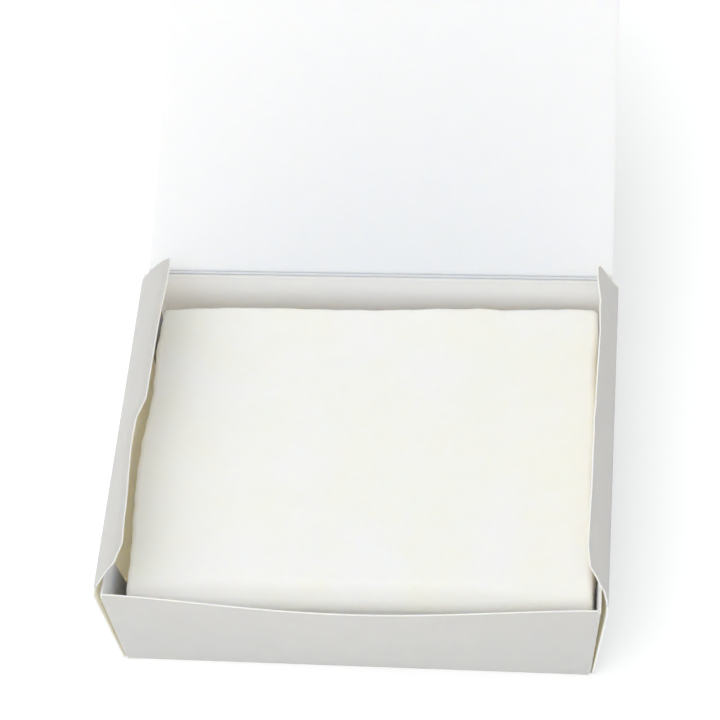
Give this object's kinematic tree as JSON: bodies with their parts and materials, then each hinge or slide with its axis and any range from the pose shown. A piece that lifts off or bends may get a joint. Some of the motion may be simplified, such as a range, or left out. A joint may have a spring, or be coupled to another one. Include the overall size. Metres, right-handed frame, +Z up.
{
  "type": "gymnastics chalk block in folding carton",
  "caption": "Pressed slab of gymnastics grip chalk lying in an open white folding carton, with a hinged tuck lid laid back and dust flaps on both sides.",
  "frame": {"origin": "centre of the carton's base, on the surface it stands on", "axes": "+X along the front wall to the right as seen from the front, +Y from the front wall to the hinged rear wall, +Z up out of the carton"},
  "size_m": [0.1524, 0.226, 0.0953],
  "materials": {
    "white_boxboard": "matte",
    "inner_boxboard": "matte",
    "dried_glue": "satin",
    "pressed_chalk": "matte"
  },
  "bodies": {
    "tray": {"base_panel": "inner_boxboard", "front_wall": "white_boxboard", "rear_wall": "white_boxboard", "left_wall": "white_boxboard", "right_wall": "white_boxboard", "front_left_glue_tab": "inner_boxboard", "rear_left_glue_tab": "inner_boxboard", "front_right_glue_tab": "inner_boxboard", "rear_right_glue_tab": "inner_boxboard", "front_left_glue_line": "dried_glue", "rear_left_glue_line": "dried_glue", "front_right_glue_line": "dried_glue", "rear_right_glue_line": "dried_glue"},
    "lid": {"lid_panel": "white_boxboard"},
    "tuck_flap": {"tuck_flap": "white_boxboard"},
    "left_dust_flap": {"left_dust_flap": "white_boxboard"},
    "right_dust_flap": {"right_dust_flap": "white_boxboard"},
    "chalk": {"chalk_slab": "pressed_chalk"}
  },
  "joints": [
    {"name": "lid_hinge", "type": "hinge", "parent": "tray", "child": "lid", "pos_m": [0, 0.05775, 0.04775], "axis": [-1, 0, 0], "range_deg": [-164, 34]},
    {"name": "tuck_fold", "type": "hinge", "parent": "lid", "child": "tuck_flap", "pos_m": [0, 0.16801, 0.07937], "axis": [-1, 0, 0], "range_deg": [-5, 95]},
    {"name": "left_dust_fold", "type": "hinge", "parent": "tray", "child": "left_dust_flap", "pos_m": [-0.07597, 0, 0.04675], "axis": [0, -1, 0], "range_deg": [-70, 14.6]},
    {"name": "right_dust_fold", "type": "hinge", "parent": "tray", "child": "right_dust_flap", "pos_m": [0.07597, 0, 0.04675], "axis": [0, 1, 0], "range_deg": [-70, 14.6]},
    {"name": "chalk_lift", "type": "slide", "parent": "tray", "child": "chalk", "axis": [0, 0, 1], "range_m": [0, 0.007]}
  ],
  "couplings": [
    {"joint": "left_dust_fold", "follows": "lid_hinge", "ratio": 0.4268},
    {"joint": "right_dust_fold", "follows": "lid_hinge", "ratio": 0.4268}
  ]
}
